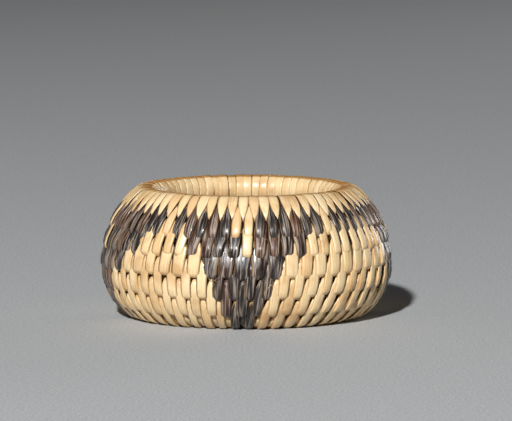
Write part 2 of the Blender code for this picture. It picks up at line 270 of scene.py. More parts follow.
# The surfaces: how much fine detail their patterns have and how large their spots are, how rough
# they are, and how far and how strongly their grain stands up
WILLOW_DETAIL = 4.0
WILLOW_ROUGHNESS = 0.34
WILLOW_BUMP = 0.03 * MM
WILLOW_BUMP_STRENGTH = 0.5
BLOTCH_SIZE = 3.2 * MM
BLOTCH_DETAIL = 3.0
POD_DETAIL = 5.0
POD_BUMP = 0.07 * MM
POD_BUMP_STRENGTH = 0.8
GRASS_SPOT_SIZE = 0.5 * MM
GRASS_DETAIL = 3.0
GRASS_ROUGHNESS = 0.85

# Where the grain is low the pod is glossy, and where it is high it is dull: levels and roughness
POD_GLOSS_LEVELS = (0.35, 0.65)
POD_GLOSS = (0.20, 0.52)

# Between these ways of facing, the splint is coloured darker amber: on the rim's crest, and at the tops of
# the stitches where they come out of the wall under the turn above
CREST_START = math.radians(-20.0)
CREST_END = math.radians(-55.0)

# Colours laid over a finish: the fact that decides, the levels between which it sets in, how much
# there is at the most, and the colour, by its hex value or its name in BasketColours
WILLOW_LAYERS = (
    ("tone", 0.20, 1.0, 0.45, "#E2BC80"),
    ("grain", 0.48, 0.70, 0.60, "#CE9F60"),
    ("blotch", 0.50, 0.72, 0.55, "honey_and_painted_shade"),
    ("ruddy", 0.88, 1.0, 0.35, "#C88745"),
    ("edge", 0.70, 1.0, 0.50, "#A8743A"),
    # The lower ends of the stitches, where they turn into the wall, are darkened with honey as painted shade
    ("down", 0.88, 1.0, 0.50, "honey_and_painted_shade"),
    ("facing", CREST_START, CREST_END, 0.85, "#B27A36"),
)
POD_LAYERS = (
    ("tone", 0.55, 1.0, 0.60, "#665D57"),
    ("ruddy", 0.55, 1.0, 0.80, "#70462F"),
    ("grain", 0.51, 0.62, 0.85, "#A39384"),
    ("grain", 0.47, 0.37, 0.80, "#141011"),
    ("frayed", 1.12, 1.26, 0.85, "#BD9770"),
    ("bared", 0.48, 0.56, 0.85, "#B98F60"),
)
# The grass bundle's darker colour, under its spots. Both its colours are darker than dry grass, as painted
# shade in the holes between the stitches, where alone the bundle shows.
GRASS_BROWN_AND_PAINTED_SHADE = "#2A190D"
GRASS_LAYERS = (("spot", 0.40, 0.70, 1.0, "grass"),)

# The colour sockets of a mix node, by number, because other sockets of it have the same names
MIX_UNDER = 6
MIX_OVER = 7
MIX_RESULT = 2

# The camera: its sensor and lens in mm, its distance in metres and its elevation, and the column and
# the row of the picture on which the basket's axis and the point at the aim's height fall
PICTURE_WIDTH = 512
PICTURE_HEIGHT = 421
SENSOR = 36.0
CAMERA_LENS = 306.4
CAMERA_DISTANCE = 0.600
CAMERA_ELEVATION = math.radians(6.78)
AXIS_PIXEL = 246.0
AIM_PIXEL = 248.9
AIM_HEIGHT = 9.0 * MM

# The stage: a wide floor of matt paper just under the foot, whose grain is drawn coarser than the
# real one so that it shows, and lamps by place and size in metres and power in watts
FLOOR_REACH = 6.0
FLOOR_DROP = 0.03 * MM
FLOOR_GRAIN = 0.35 * MM
FLOOR_GRAIN_DETAIL = 2.0
FLOOR_ROUGHNESS = 0.9
FLOOR_LEVELS = (0.30, 0.70)
FLOOR_DARK_SHARE = 0.80
FLOOR_LIGHT_SHARE = 1.16
LAMPS = (
    ("key", (-0.28, -1.20, 0.78), 0.07, 27.0),
    ("left", (-0.85, 0.30, 0.06), 0.30, 0.6),
    ("back", (0.55, 0.70, 0.06), 0.30, 1.9),
)
WORLD_COLOUR = "#D6DBE0"
WORLD_STRENGTH = 0.022


def srgb(text):
    """A linear colour from an sRGB hex value."""
    channels = [int(text[place:place + 2], 16) / 255 for place in (1, 3, 5)]
    linear = [(c / 12.92) if c <= 0.04045 else ((c + 0.055) / 1.055) ** 2.4 for c in channels]
    return (*linear, 1.0)


def add_node(tree, kind, settings=None, inputs=None):
    """Add a node, set its values, and fill its inputs with values or links."""
    node = tree.nodes.new(kind)
    for name, value in (settings or {}).items():
        setattr(node, name, value)
    for key, value in (inputs or {}).items():
        if isinstance(value, bpy.types.Node):
            value = next(socket for socket in value.outputs if socket.enabled)
        if isinstance(value, bpy.types.NodeSocket):
            tree.links.new(value, node.inputs[key])
        else:
            node.inputs[key].default_value = value
    return node


class BasketSizes(bpy.types.PropertyGroup):
    """Sizes of the basket that a user may change."""

    widest_radius: bpy.props.FloatProperty(
        name="Widest radius", description="Radius of the wall's middle at its widest",
        default=18.5 * MM, unit="LENGTH")
    widest_height: bpy.props.FloatProperty(
        name="Widest height", description="Height of the widest place above the foot",
        default=7.3 * MM, unit="LENGTH")
    splint_thick: bpy.props.FloatProperty(
        name="Splint thickness", description="Thickness of a sewing splint at its middle",
        default=0.30 * MM, unit="LENGTH")
    fibre_count: bpy.props.IntProperty(
        name="Loose fibres", description="Number of frayed fibres scattered on the wall", default=42)


class BasketColours(bpy.types.PropertyGroup):
    """Colours of the basket that a user may change."""

    willow: bpy.props.FloatVectorProperty(
        name="Peeled willow", description="Colour of the palest splints", subtype="COLOR", size=4,
        default=srgb("#F4D9AB"))
    # Honey colours blotches of handled and aged willow, and is also laid on the lower ends of the stitches as
    # painted shade
    honey_and_painted_shade: bpy.props.FloatVectorProperty(
        name="Honey willow", description="Colour of handled and aged pale splints", subtype="COLOR", size=4,
        default=srgb("#B47C3C"))
    pod: bpy.props.FloatVectorProperty(
        name="Seed pod", description="Colour of the dark splints", subtype="COLOR", size=4,
        default=srgb("#2F2A28"))
    # The grass is made darker than dry grass, as painted shade in the holes between the stitches
    grass: bpy.props.FloatVectorProperty(
        name="Grass bundle", description="Colour of the foundation", subtype="COLOR", size=4,
        default=srgb("#4E321B"))
    floor: bpy.props.FloatVectorProperty(
        name="Floor", description="Colour of the pale floor", subtype="COLOR", size=4,
        default=srgb("#BABCBD"))


def sizes():
    """The basket's sizes, as the user set them."""
    return bpy.context.scene.basket_sizes


def colours():
    """The basket's colours, as the user set them."""
    return bpy.context.scene.basket_colours


def arcs():
    """The wall's arcs worked out from the sizes: lengths along it and centres."""
    widest, height = sizes().widest_radius, sizes().widest_height
    rise = BELLY_RADIUS - HEEL_RADIUS
    heel_angle = math.asin((height - WALL_HALF - HEEL_RADIUS) / rise)
    heel_centre = widest - BELLY_RADIUS + rise * math.cos(heel_angle)
    belly_start = SHOULDER_RADIUS * RIM_ANGLE
    heel_start = belly_start + BELLY_RADIUS * heel_angle
    base_start = heel_start + HEEL_RADIUS * (math.pi / 2 - heel_angle)
    return heel_angle, heel_centre, belly_start, heel_start, base_start


def outline(along):
    """Radius, height and facing angle of the wall's middle at a length along it."""
    heel_angle, heel_centre, belly_start, heel_start, base_start = arcs()
    widest, height = sizes().widest_radius, sizes().widest_height
    if along < belly_start:
        facing = RIM_ANGLE - along / SHOULDER_RADIUS
        reach, centre, level = SHOULDER_RADIUS, widest - SHOULDER_RADIUS, height
    elif along < heel_start:
        facing = -(along - belly_start) / BELLY_RADIUS
        reach, centre, level = BELLY_RADIUS, widest - BELLY_RADIUS, height
    elif along < base_start:
        facing = -heel_angle - (along - heel_start) / HEEL_RADIUS
        reach, centre, level = HEEL_RADIUS, heel_centre, WALL_HALF + HEEL_RADIUS
    else:
        return heel_centre - (along - base_start), WALL_HALF, -math.pi / 2
    return centre + reach * math.cos(facing), level + reach * math.sin(facing), facing


def climb(turn):
    """Turns gone down the wall, none at the front of the rim."""
    return turn + LEVELLING_SHARE * math.sin(math.tau * turn) / math.tau - FRONT_TURN


def spiral_length():
    """Length of the wall from the front of the rim to the tail of the spiral."""
    _, heel_centre, _, _, base_start = arcs()
    return base_start + heel_centre - TAIL_RADIUS


def pitch():
    """How far down the wall a turn goes."""
    return spiral_length() / climb(TURNS)


def wall_profile():
    """The wall's middle line as a curve, that the node trees sample by its length."""
    end = spiral_length() + TAIL_RADIUS
    count = math.ceil((end + PROFILE_LEAD) / PROFILE_STEP)
    curve = bpy.data.curves.new("wall_profile", "CURVE")
    curve.dimensions = "3D"
    spline = curve.splines.new("POLY")
    spline.points.add(count)
    for index, point in enumerate(spline.points):
        along = -PROFILE_LEAD + (end + PROFILE_LEAD) * index / count
        radius, height, _ = outline(along)
        point.co = (radius, 0.0, height, 1.0)
    guide = bpy.data.objects.new("wall_profile", curve)
    bpy.context.scene.collection.objects.link(guide)
    return guide


# Facts of a loop's points and of a stitch, by the names under which trees and finishes read them
COURSE_FACTS = ("down", "shift", "stand", "facing", "breadth", "side", "rise")
STITCH_FACTS = (
    "top_angle", "middle_angle", "bottom_angle", "top_line", "bottom_line", "spacing",
    "fullness", "lift", "twist", "tone", "ruddy", "pale_top",
)

# The sums that bend a loop of splint round the wall: a name, what is done, and with which values.
# The weights of a stitch's top, middle and bottom are those that course_weights gives.
BENDING_SUMS = (
    ("height", "MULTIPLY", "rise", "Half thickness"),
    ("tall", "SUBTRACT", "bottom_line", "top_line"),
    ("level line", "MULTIPLY_ADD", "down", "tall", "top_line"),
    ("shifted line", "ADD", "level line", "shift"),
    ("facing down", "SINE", "facing"),
    ("along", "MULTIPLY_ADD", "facing down", "height", "shifted line"),
    ("side of wall", "SIGN", "stand"),
    ("lifted", "MULTIPLY_ADD", "lift", "side of wall", "stand"),
    ("facing out", "COSINE", "facing"),
    ("raised", "MULTIPLY_ADD", "facing out", "height", "lifted"),
    ("out", "MULTIPLY_ADD", "side", "twist", "raised"),
    ("rest", "SUBTRACT", 1.0, "down"),
    ("split", "MULTIPLY_ADD", "down", 2.0, -1.0),
    ("unsplit", "MULTIPLY", "split", -1.0),
    ("top weight", "MULTIPLY", "rest", "unsplit"),
    ("parabola", "MULTIPLY", "rest", "down"),
    ("middle weight", "MULTIPLY", "parabola", 4.0),
    ("bottom weight", "MULTIPLY", "down", "split"),
    ("top part", "MULTIPLY", "top weight", "top_angle"),
    ("upper part", "MULTIPLY_ADD", "middle weight", "middle_angle", "top part"),
    ("course angle", "MULTIPLY_ADD", "bottom weight", "bottom_angle", "upper part"),
    ("share of step", "MULTIPLY", "breadth", "fullness"),
    ("half step", "MULTIPLY", "spacing", 0.5),
    ("half width", "MULTIPLY", "share of step", "half step"),
    ("angle", "MULTIPLY_ADD", "side", "half width", "course angle"),
    ("length", "ADD", "along", "Profile lead"),
)

# The sums that place a point of it from the wall's middle line and the angle round the axis
PLACING_SUMS = (
    ("sunk", "MULTIPLY", "out", "course z"),
    ("true radius", "SUBTRACT", "middle x", "sunk"),
    ("slow phase", "MULTIPLY_ADD", "angle", SLOW_WAVES_ROUND, SLOW_WAVE_START),
    ("slow wave", "SINE", "slow phase"),
    ("quick phase", "MULTIPLY_ADD", "angle", QUICK_WAVES_ROUND, QUICK_WAVE_START),
    ("quick wave", "SINE", "quick phase"),
    ("waves", "ADD", "slow wave", "quick wave"),
    ("sway", "MULTIPLY", "waves", "Wobble"),
    ("radius", "MULTIPLY_ADD", "sway", "middle x", "true radius"),
    ("free height", "MULTIPLY_ADD", "out", "course x", "middle z"),
    ("z", "MAXIMUM", "free height", 0.0),
    ("round", "COSINE", "angle"),
    ("aside", "SINE", "angle"),
    ("x", "MULTIPLY", "radius", "round"),
    ("y", "MULTIPLY", "radius", "aside"),
)


def add_inputs(tree, kinds):
    """Named inputs and the one output of a geometry tree; gives the sockets to draw from, by name."""
    for name, kind in kinds.items():
        tree.interface.new_socket(name, in_out="INPUT", socket_type="NodeSocket" + kind)
    tree.interface.new_socket("Made", in_out="OUTPUT", socket_type="NodeSocketGeometry")
    given = add_node(tree, "NodeGroupInput").outputs
    return {name: given[name] for name in kinds}


def do_sums(tree, values, sums):
    """Work through a table of sums, each of which may use the values before it."""
    for name, operation, *terms in sums:
        inputs = {place: values.get(term, term) for place, term in enumerate(terms)}
        values[name] = add_node(tree, "ShaderNodeMath", {"operation": operation}, inputs)


def finish_tree(tree, geometry, finish):
    """Every tree ends alike: real, smooth and with its material."""
    real = add_node(tree, "GeometryNodeRealizeInstances", {}, {"Geometry": geometry})
    smooth = add_node(tree, "GeometryNodeSetShadeSmooth", {}, {"Geometry": real})
    finished = add_node(tree, "GeometryNodeSetMaterial", {}, {"Geometry": smooth, "Material": finish})
    add_node(tree, "NodeGroupOutput", {}, {"Made": finished})


def sewing_tree():
    """Geometry nodes that lay a loop of splint at each point and bend it round the wall."""
    tree = bpy.data.node_groups.new("stitch sewing", "GeometryNodeTree")
    values = add_inputs(tree, {
        "Stitches": "Geometry", "Loop": "Object", "Wall profile": "Object", "Profile lead": "Float",
        "Half thickness": "Float", "Wobble": "Float", "Finish": "Material"})
    for name in (*COURSE_FACTS, *STITCH_FACTS):
        values[name] = add_node(
            tree, "GeometryNodeInputNamedAttribute", {"data_type": "FLOAT"}, {"Name": name})
    loop = add_node(tree, "GeometryNodeObjectInfo", {}, {"Object": values["Loop"]})
    profile = add_node(tree, "GeometryNodeObjectInfo", {}, {"Object": values["Wall profile"]})
    laid = add_node(tree, "GeometryNodeInstanceOnPoints", {},
                    {"Points": values["Stitches"], "Instance": loop.outputs["Geometry"]})
    real = add_node(tree, "GeometryNodeRealizeInstances", {}, {"Geometry": laid})
    do_sums(tree, values, BENDING_SUMS)
    sample = add_node(tree, "GeometryNodeSampleCurve", {"mode": "LENGTH"},
                      {"Curves": profile.outputs["Geometry"], "Length": values["length"]})
    middle = add_node(tree, "ShaderNodeSeparateXYZ", {}, {0: sample.outputs["Position"]}).outputs
    course = add_node(tree, "ShaderNodeSeparateXYZ", {}, {0: sample.outputs["Tangent"]}).outputs
    values.update({"middle x": middle["X"], "middle z": middle["Z"],
                   "course x": course["X"], "course z": course["Z"]})
    do_sums(tree, values, PLACING_SUMS)
    place = add_node(tree, "ShaderNodeCombineXYZ", {},
                     {"X": values["x"], "Y": values["y"], "Z": values["z"]})
    bent = add_node(tree, "GeometryNodeSetPosition", {}, {"Geometry": real, "Position": place})
    finish_tree(tree, bent, values["Finish"])
    return tree


# The sums that place a stem of the bundle beside its course
STEM_SUMS = (
    ("step round", "DIVIDE", math.tau, "Stems"),
    ("start", "MULTIPLY", "copy", "step round"),
    ("phase", "MULTIPLY_ADD", "turn", "Twist", "start"),
    ("to the side", "COSINE", "phase"),
    ("to the edge", "SINE", "phase"),
    ("slim across", "MULTIPLY", "size", "Stems across"),
    ("slim along", "MULTIPLY", "size", "Stems along"),
    ("outward", "MULTIPLY", "to the side", "slim across"),
    ("downward", "MULTIPLY", "to the edge", "slim along"),
    ("thickness", "MULTIPLY", "size", "Stem radius"),
)


def stem_tree():
    """Geometry nodes that lay a ring of stems along a course and twist them together."""
    tree = bpy.data.node_groups.new("stem bundle", "GeometryNodeTree")
    values = add_inputs(tree, {
        "Course": "Geometry", "Stems": "Int", "Stem sides": "Int", "Twist": "Float",
        "Stems across": "Float", "Stems along": "Float", "Stem radius": "Float", "Finish": "Material"})
    for name in ("turn", "size"):
        values[name] = add_node(
            tree, "GeometryNodeInputNamedAttribute", {"data_type": "FLOAT"}, {"Name": name})
    ways = [add_node(tree, "GeometryNodeInputNamedAttribute", {"data_type": "FLOAT_VECTOR"}, {"Name": name})
            for name in ("out_way", "down_way")]
    line = add_node(tree, "GeometryNodeMeshToCurve", {}, {"Mesh": values["Course"]})
    copies = add_node(tree, "GeometryNodeDuplicateElements", {"domain": "SPLINE"},
                      {"Geometry": line, "Amount": values["Stems"]})
    values["copy"] = copies.outputs["Duplicate Index"]
    do_sums(tree, values, STEM_SUMS)
    shifts = [add_node(tree, "ShaderNodeVectorMath", {"operation": "SCALE"},
                       {0: way, "Scale": values[name]})
              for way, name in zip(ways, ("outward", "downward"))]
    offset = add_node(tree, "ShaderNodeVectorMath", {"operation": "ADD"}, {0: shifts[0], 1: shifts[1]})
    apart = add_node(tree, "GeometryNodeSetPosition", {},
                     {"Geometry": copies.outputs["Geometry"], "Offset": offset})
    ring = add_node(tree, "GeometryNodeCurvePrimitiveCircle", {},
                    {"Resolution": values["Stem sides"], "Radius": 1.0})
    tube = add_node(tree, "GeometryNodeCurveToMesh", {}, {
        "Curve": apart, "Profile Curve": ring.outputs["Curve"],
        "Scale": values["thickness"], "Fill Caps": True})
    finish_tree(tree, tube, values["Finish"])
    return tree


def run_tree(source, tree, inputs):
    """Put a node tree on an object and turn it into the plain mesh that comes out, facing outwards."""
    modifier = source.modifiers.new(tree.name, "NODES")
    modifier.node_group = tree
    for item in tree.interface.items_tree:
        if item.in_out == "INPUT" and item.name in inputs:
            modifier[item.identifier] = inputs[item.name]
    bpy.context.view_layer.update()
    seen = source.evaluated_get(bpy.context.evaluated_depsgraph_get())
    mesh = bpy.data.meshes.new_from_object(seen)
    source.modifiers.remove(modifier)
    skin = bmesh.new()
    skin.from_mesh(mesh)
    bmesh.ops.recalc_face_normals(skin, faces=skin.faces)
    skin.to_mesh(mesh)
    skin.free()
    mesh.name = source.name
    source.data = mesh
    return source


def new_points(name, places, edges, facts):
    """An object of loose or linked points that carry named facts."""
    mesh = bpy.data.meshes.new(name)
    mesh.from_pydata(places, edges, [])
    for fact, values in facts.items():
        if isinstance(values[0], Vector):
            flat = [part for value in values for part in value]
            mesh.attributes.new(fact, "FLOAT_VECTOR", "POINT").data.foreach_set("vector", flat)
        else:
            mesh.attributes.new(fact, "FLOAT", "POINT").data.foreach_set("value", values)
    source = bpy.data.objects.new(name, mesh)
    bpy.context.scene.collection.objects.link(source)
    return source


def splint_loop(name, shares):
    """One stitch as a closed loop of splint, with its course kept as facts of its points."""
    facts = {key: [] for key in COURSE_FACTS}
    places = []
    for ring, (down, shift, stand, facing, breadth) in enumerate(shares):
        course = (down, shift * WALL_HALF, stand * WALL_HALF, math.radians(facing), breadth)
        for side, rise in SECTION_SHARES:
            for key, value in zip(COURSE_FACTS, (*course, side, rise)):
                facts[key].append(value)
            places.append((side, ring, rise))
    template = new_points(name, places, [], facts)
    corners, rings = len(SECTION_SHARES), len(shares)
    skin = bmesh.new()
    skin.from_mesh(template.data)
    skin.verts.ensure_lookup_table()
    for ring in range(rings):
        near, far = ring * corners, (ring + 1) % rings * corners
        for corner in range(corners):
            after = (corner + 1) % corners
            face = (near + corner, near + after, far + after, far + corner)
            skin.faces.new([skin.verts[place] for place in face])
    skin.to_mesh(template.data)
    skin.free()
    return template


def sew(name, stitches, shares, finish, thick):
    """Sew a list of stitches as one piece."""
    facts = {fact: [stitch[fact] for stitch in stitches] for fact in STITCH_FACTS}
    piece = new_points(name, [(0.0, 0.0, 0.0)] * len(stitches), [], facts)
    loop = splint_loop(name + "_loop", shares)
    guide = wall_profile()
    tree = bpy.data.node_groups.get("stitch sewing") or sewing_tree()
    run_tree(piece, tree, {"Loop": loop, "Wall profile": guide, "Profile lead": PROFILE_LEAD,
                           "Half thickness": thick / 2, "Wobble": WOBBLE_SHARE, "Finish": finish})
    bpy.data.objects.remove(loop)
    bpy.data.objects.remove(guide)
    return piece


def pointed(shares):
    """The same loop with its top drawn to a point."""
    slope = (1 - POINT_WIDTH_SHARE) / POINT_LENGTH_SHARE
    narrow = [min(1.0, POINT_WIDTH_SHARE + slope * ring[0]) for ring in shares]
    return [(*ring[:4], ring[4] * share) for ring, share in zip(shares, narrow)]


def column_angle(row, column):
    """The angle of a column of stitches, counted from the middle of the figure in front."""
    offset = FIGURE_OFFSET + (THIRD_TURN_OFFSET if row == THIRD_TURN_ROW else 0.0)
    return FRONT + offset + math.tau * (column + HALF_STEP_SHARES[row]) / STITCH_COUNTS[row]


def course_weights(down):
    """How much a stitch's top, middle and bottom count for its place at a share of its way down."""
    return (1 - down) * (1 - 2 * down), 4 * down * (1 - down), down * (2 * down - 1)


def gaps_between(stitches):
    """The gaps between the lower halves of a turn's stitches, as angles round from the first."""
    top, middle, bottom = course_weights(LOWER_SHARE)
    places = [top * stitch["top_angle"] + middle * stitch["middle_angle"] + bottom * stitch["bottom_angle"]
              for stitch in stitches]
    places.append(places[0] + math.tau)
    return [(place + after) / 2 for place, after in zip(places, places[1:])]


def fitted_middle(gaps, angle, swing):
    """Where a stitch's middle goes so that its upper part moves towards a gap of the turn above."""
    top, middle, bottom = course_weights(UPPER_SHARE)
    straight = angle + (top - bottom) * swing
    gap = min((straight + math.remainder(gap - straight, math.tau) for gap in gaps),
              key=lambda place: abs(place - straight))
    fitted = (gap - (top - bottom) * swing - bottom * angle) / (top + middle)
    return angle + GAP_SEEKING_SHARE * (fitted - angle)


def is_dark(row, column):
    """Whether a stitch belongs to a figure."""
    if row >= len(FIGURE_SPANS):
        return False
    step = math.tau / STITCH_COUNTS[row]
    first, last = FIGURE_SPANS[row]
    for degrees, extra_before, extra_after in FIGURES:
        middle = column_angle(row, -HALF_STEP_SHARES[row]) + math.radians(degrees)
        place = math.remainder(column_angle(row, column) - middle, math.tau) / step
        if first - extra_before[row] - HALF_STEP < place < last + extra_after[row] + HALF_STEP:
            return abs(place) > NOTCH_SPANS[row]
    return False


def lean_of(row, angle):
    """How far a stitch leans over: not at all at the rim, and more below and towards the right."""
    lowness = min(max((row - LEAN_CHANGE_ROW) / LEAN_CHANGE_ROWS, 0.0), 1.0)
    aside = math.sin(angle - FRONT)
    upper = UPPER_LEAN + UPPER_LEAN_SWING * aside
    lower = LOWER_LEAN + LOWER_LEAN_SWING * aside
    return 0.0 if row == 0 else upper + (lower - upper) * lowness


def all_stitches():
    """Every stitch from the rim to the start knot, as the facts that the node tree reads."""
    chance = random.Random(SEED)
    middle_of_base = spiral_length() + TAIL_RADIUS / 2
    stitches = []
    for row, count in enumerate(STITCH_COUNTS):
        gaps = gaps_between(stitches[-STITCH_COUNTS[row - 1]:]) if row else []
        for column in range(count):
            angle = column_angle(row, column) + chance.gauss(0.0, PLACE_SPREAD_SHARE) * math.tau / count
            share = ((BACK - angle) / math.tau) % 1.0
            wave = ROW_WAVE * math.sin(ROW_WAVES_ROUND * angle + ROW_WAVE_TURN * row)
            bottom = pitch() * (climb(row + share) + END_ROWS) + wave
            tall = BASE_TALL_ROWS if row > FIRST_BASE_ROW else TALL_ROWS
            top = bottom - tall * pitch() if row else 0.0
            bottom = min(bottom, middle_of_base) + chance.gauss(0.0, END_SPREAD)
            radius = outline((top + bottom) / 2)[0] + WALL_HALF
            lean = lean_of(row, angle) + chance.gauss(0.0, LEAN_SPREAD)
            swing = math.tan(lean) * (bottom - top) / radius / 2
            middle = fitted_middle(gaps, angle, swing) if count == len(gaps) else angle
            stitches.append({
                "row": row, "dark": is_dark(row, column),
                "top_angle": middle + swing, "middle_angle": middle, "bottom_angle": angle - swing,
                "top_line": top, "bottom_line": bottom, "spacing": math.tau / count,
                "fullness": FULLNESS_SHARES[row] + chance.gauss(0.0, FULLNESS_SPREAD),
                "lift": chance.gauss(0.0, LIFT_SPREAD), "twist": chance.gauss(0.0, TWIST_SPREAD),
                "tone": chance.random(), "ruddy": chance.random(), "pale_top": chance.random()})
    return stitches


def all_fibres():
    """Frayed fibres: those seen in front and a scatter of smaller ones round the wall."""
    chance = random.Random(SEED)
    places = [(math.radians(angle), along * MM, down * MM, aside * MM) for angle, along, down, aside in FRAYS]
    for _ in range(sizes().fibre_count):
        length = chance.uniform(*FIBRE_LENGTH)
        course = chance.uniform(0.0, math.tau)
        places.append((chance.uniform(0.0, math.tau), chance.uniform(WALL_START, WALL_END),
                       length * math.cos(course), length * math.sin(course)))
    fibres = []
    for angle, along, down, aside in places:
        radius = outline(along)[0] + WALL_HALF
        bow = chance.gauss(0.0, FIBRE_BOW_SPREAD) * aside
        fibres.append({
            "top_angle": FRONT + angle, "middle_angle": FRONT + angle + (aside / 2 + bow) / radius,
            "bottom_angle": FRONT + angle + aside / radius, "top_line": along, "bottom_line": along + down,
            "spacing": FIBRE_WIDTH / radius, "fullness": 1.0, "lift": chance.uniform(0.0, LIFT_SPREAD),
            "twist": 0.0, "tone": chance.random(), "ruddy": chance.random(), "pale_top": 0.0})
    return fibres


def splint_nodes(colour, turns):
    """The solids that hold the splints of one colour in some turns."""
    names = ["%s_splint_turn_%02d" % (colour, turn) for turn in turns]
    return [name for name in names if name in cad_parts]


# The sums that draw noise out along a splint, and apart from that of other splints
GRAIN_SUMS = (
    ("across", "MULTIPLY", "side", "streaks across"),
    ("along", "MULTIPLY", "down", "streaks along"),
    ("apart", "MULTIPLY", "tone", GRAIN_APART),
    ("edge", "ABSOLUTE", "side"),
)

# The sums that say where the pod is frayed, at its edges, and bared, at the tops of some stitches
POD_SUMS = (
    ("frayed", "MULTIPLY_ADD", "grain", 0.6, "edge"),
    ("uneven top", "MULTIPLY_ADD", "grain", -0.3, "pale_top"),
    ("bared", "MULTIPLY_ADD", "down", -1.2, "uneven top"),
)


def splint_grain(tree, streak, detail):
    """Noise drawn out along a splint, different on each, with the facts that the colours need."""
    facts = {name: add_node(tree, "ShaderNodeAttribute", {"attribute_name": name}).outputs["Fac"]
             for name in ("side", "down", "facing", "tone", "ruddy", "pale_top")}
    facts["streaks across"] = SPLINT_HALF_WIDTH / streak[0]
    facts["streaks along"] = STITCH_HEIGHT / streak[1]
    do_sums(tree, facts, GRAIN_SUMS)
    place = add_node(tree, "ShaderNodeCombineXYZ", {},
                     {"X": facts["across"], "Y": facts["along"], "Z": facts["apart"]})
    facts["grain"] = add_node(tree, "ShaderNodeTexNoise", {},
                              {"Vector": place, "Scale": 1.0, "Detail": detail}).outputs["Fac"]
    return facts


def spots(tree, size, detail):
    """A pattern of spots of one size over a whole piece, the same in all directions."""
    place = add_node(tree, "ShaderNodeTexCoord")
    return add_node(tree, "ShaderNodeTexNoise", {}, {
        "Vector": place.outputs["Object"], "Scale": 1 / size, "Detail": detail}).outputs["Fac"]


def tint(colour):
    """A colour given by its channels, by its hex value or by its name among the user's colours."""
    if not isinstance(colour, str):
        return colour
    return srgb(colour) if colour.startswith("#") else tuple(getattr(colours(), colour))


def layer_colours(tree, facts, colour, layers):
    """Lay colours over one another, each where its fact runs from one level to another."""
    colour = tint(colour)
    for fact, start, end, most, over in layers:
        mask = add_node(tree, "ShaderNodeMapRange", {}, {
            "Value": facts[fact], "From Min": start, "From Max": end, "To Min": 0.0, "To Max": most})
        colour = add_node(tree, "ShaderNodeMix", {"data_type": "RGBA"}, {
            "Factor": mask, MIX_UNDER: colour, MIX_OVER: tint(over)}).outputs[MIX_RESULT]
    return colour


def new_finish(name):
    """A new material, with its node tree and the sockets of its shader."""
    finish = bpy.data.materials.new(name)
    finish.use_nodes = True
    return finish, finish.node_tree, finish.node_tree.nodes["Principled BSDF"].inputs


def willow_finish():
    """Peeled willow shoot, split and scraped: cream, with fine grain along it, a soft shine and painted shade
    where the stitches turn into the wall.
    """
    finish, tree, shader = new_finish("peeled_willow_splint")
    shader["Roughness"].default_value = WILLOW_ROUGHNESS
    facts = splint_grain(tree, WILLOW_STREAK, WILLOW_DETAIL)
    facts["blotch"] = spots(tree, BLOTCH_SIZE, BLOTCH_DETAIL)
    colour = layer_colours(tree, facts, "willow", WILLOW_LAYERS)
    bump = add_node(tree, "ShaderNodeBump", {}, {
        "Height": facts["grain"], "Strength": WILLOW_BUMP_STRENGTH, "Distance": WILLOW_BUMP})
    tree.links.new(colour, shader["Base Color"])
    tree.links.new(bump.outputs["Normal"], shader["Normal"])
    return finish


def pod_finish():
    """Split dark seed pod: near black with a brown cast, grey streaks and a broken satin shine."""
    finish, tree, shader = new_finish("dark_seed_pod_splint")
    facts = splint_grain(tree, POD_STREAK, POD_DETAIL)
    do_sums(tree, facts, POD_SUMS)
    colour = layer_colours(tree, facts, "pod", POD_LAYERS)
    gloss = add_node(tree, "ShaderNodeMapRange", {}, {
        "Value": facts["grain"], "From Min": POD_GLOSS_LEVELS[0], "From Max": POD_GLOSS_LEVELS[1],
        "To Min": POD_GLOSS[0], "To Max": POD_GLOSS[1]})
    bump = add_node(tree, "ShaderNodeBump", {}, {
        "Height": facts["grain"], "Strength": POD_BUMP_STRENGTH, "Distance": POD_BUMP})
    tree.links.new(gloss.outputs["Result"], shader["Roughness"])
    tree.links.new(colour, shader["Base Color"])
    tree.links.new(bump.outputs["Normal"], shader["Normal"])
    return finish


def grass_finish():
    """Dry grass stems, unpolished: brown, darkened as painted shade for the holes between the stitches where
    it shows, matt and spotted.
    """
    finish, tree, shader = new_finish("dry_grass_bundle")
    shader["Roughness"].default_value = GRASS_ROUGHNESS
    facts = {"spot": spots(tree, GRASS_SPOT_SIZE, GRASS_DETAIL)}
    colour = layer_colours(tree, facts, GRASS_BROWN_AND_PAINTED_SHADE, GRASS_LAYERS)
    tree.links.new(colour, shader["Base Color"])
    return finish


FINISHES = {
    "peeled_willow_splint": willow_finish,
    "dark_seed_pod_splint": pod_finish,
    "dry_grass_bundle": grass_finish,
}


def material(name):
    """A finish by its name, made when it is first asked for."""
    return bpy.data.materials.get(name) or FINISHES[name]()


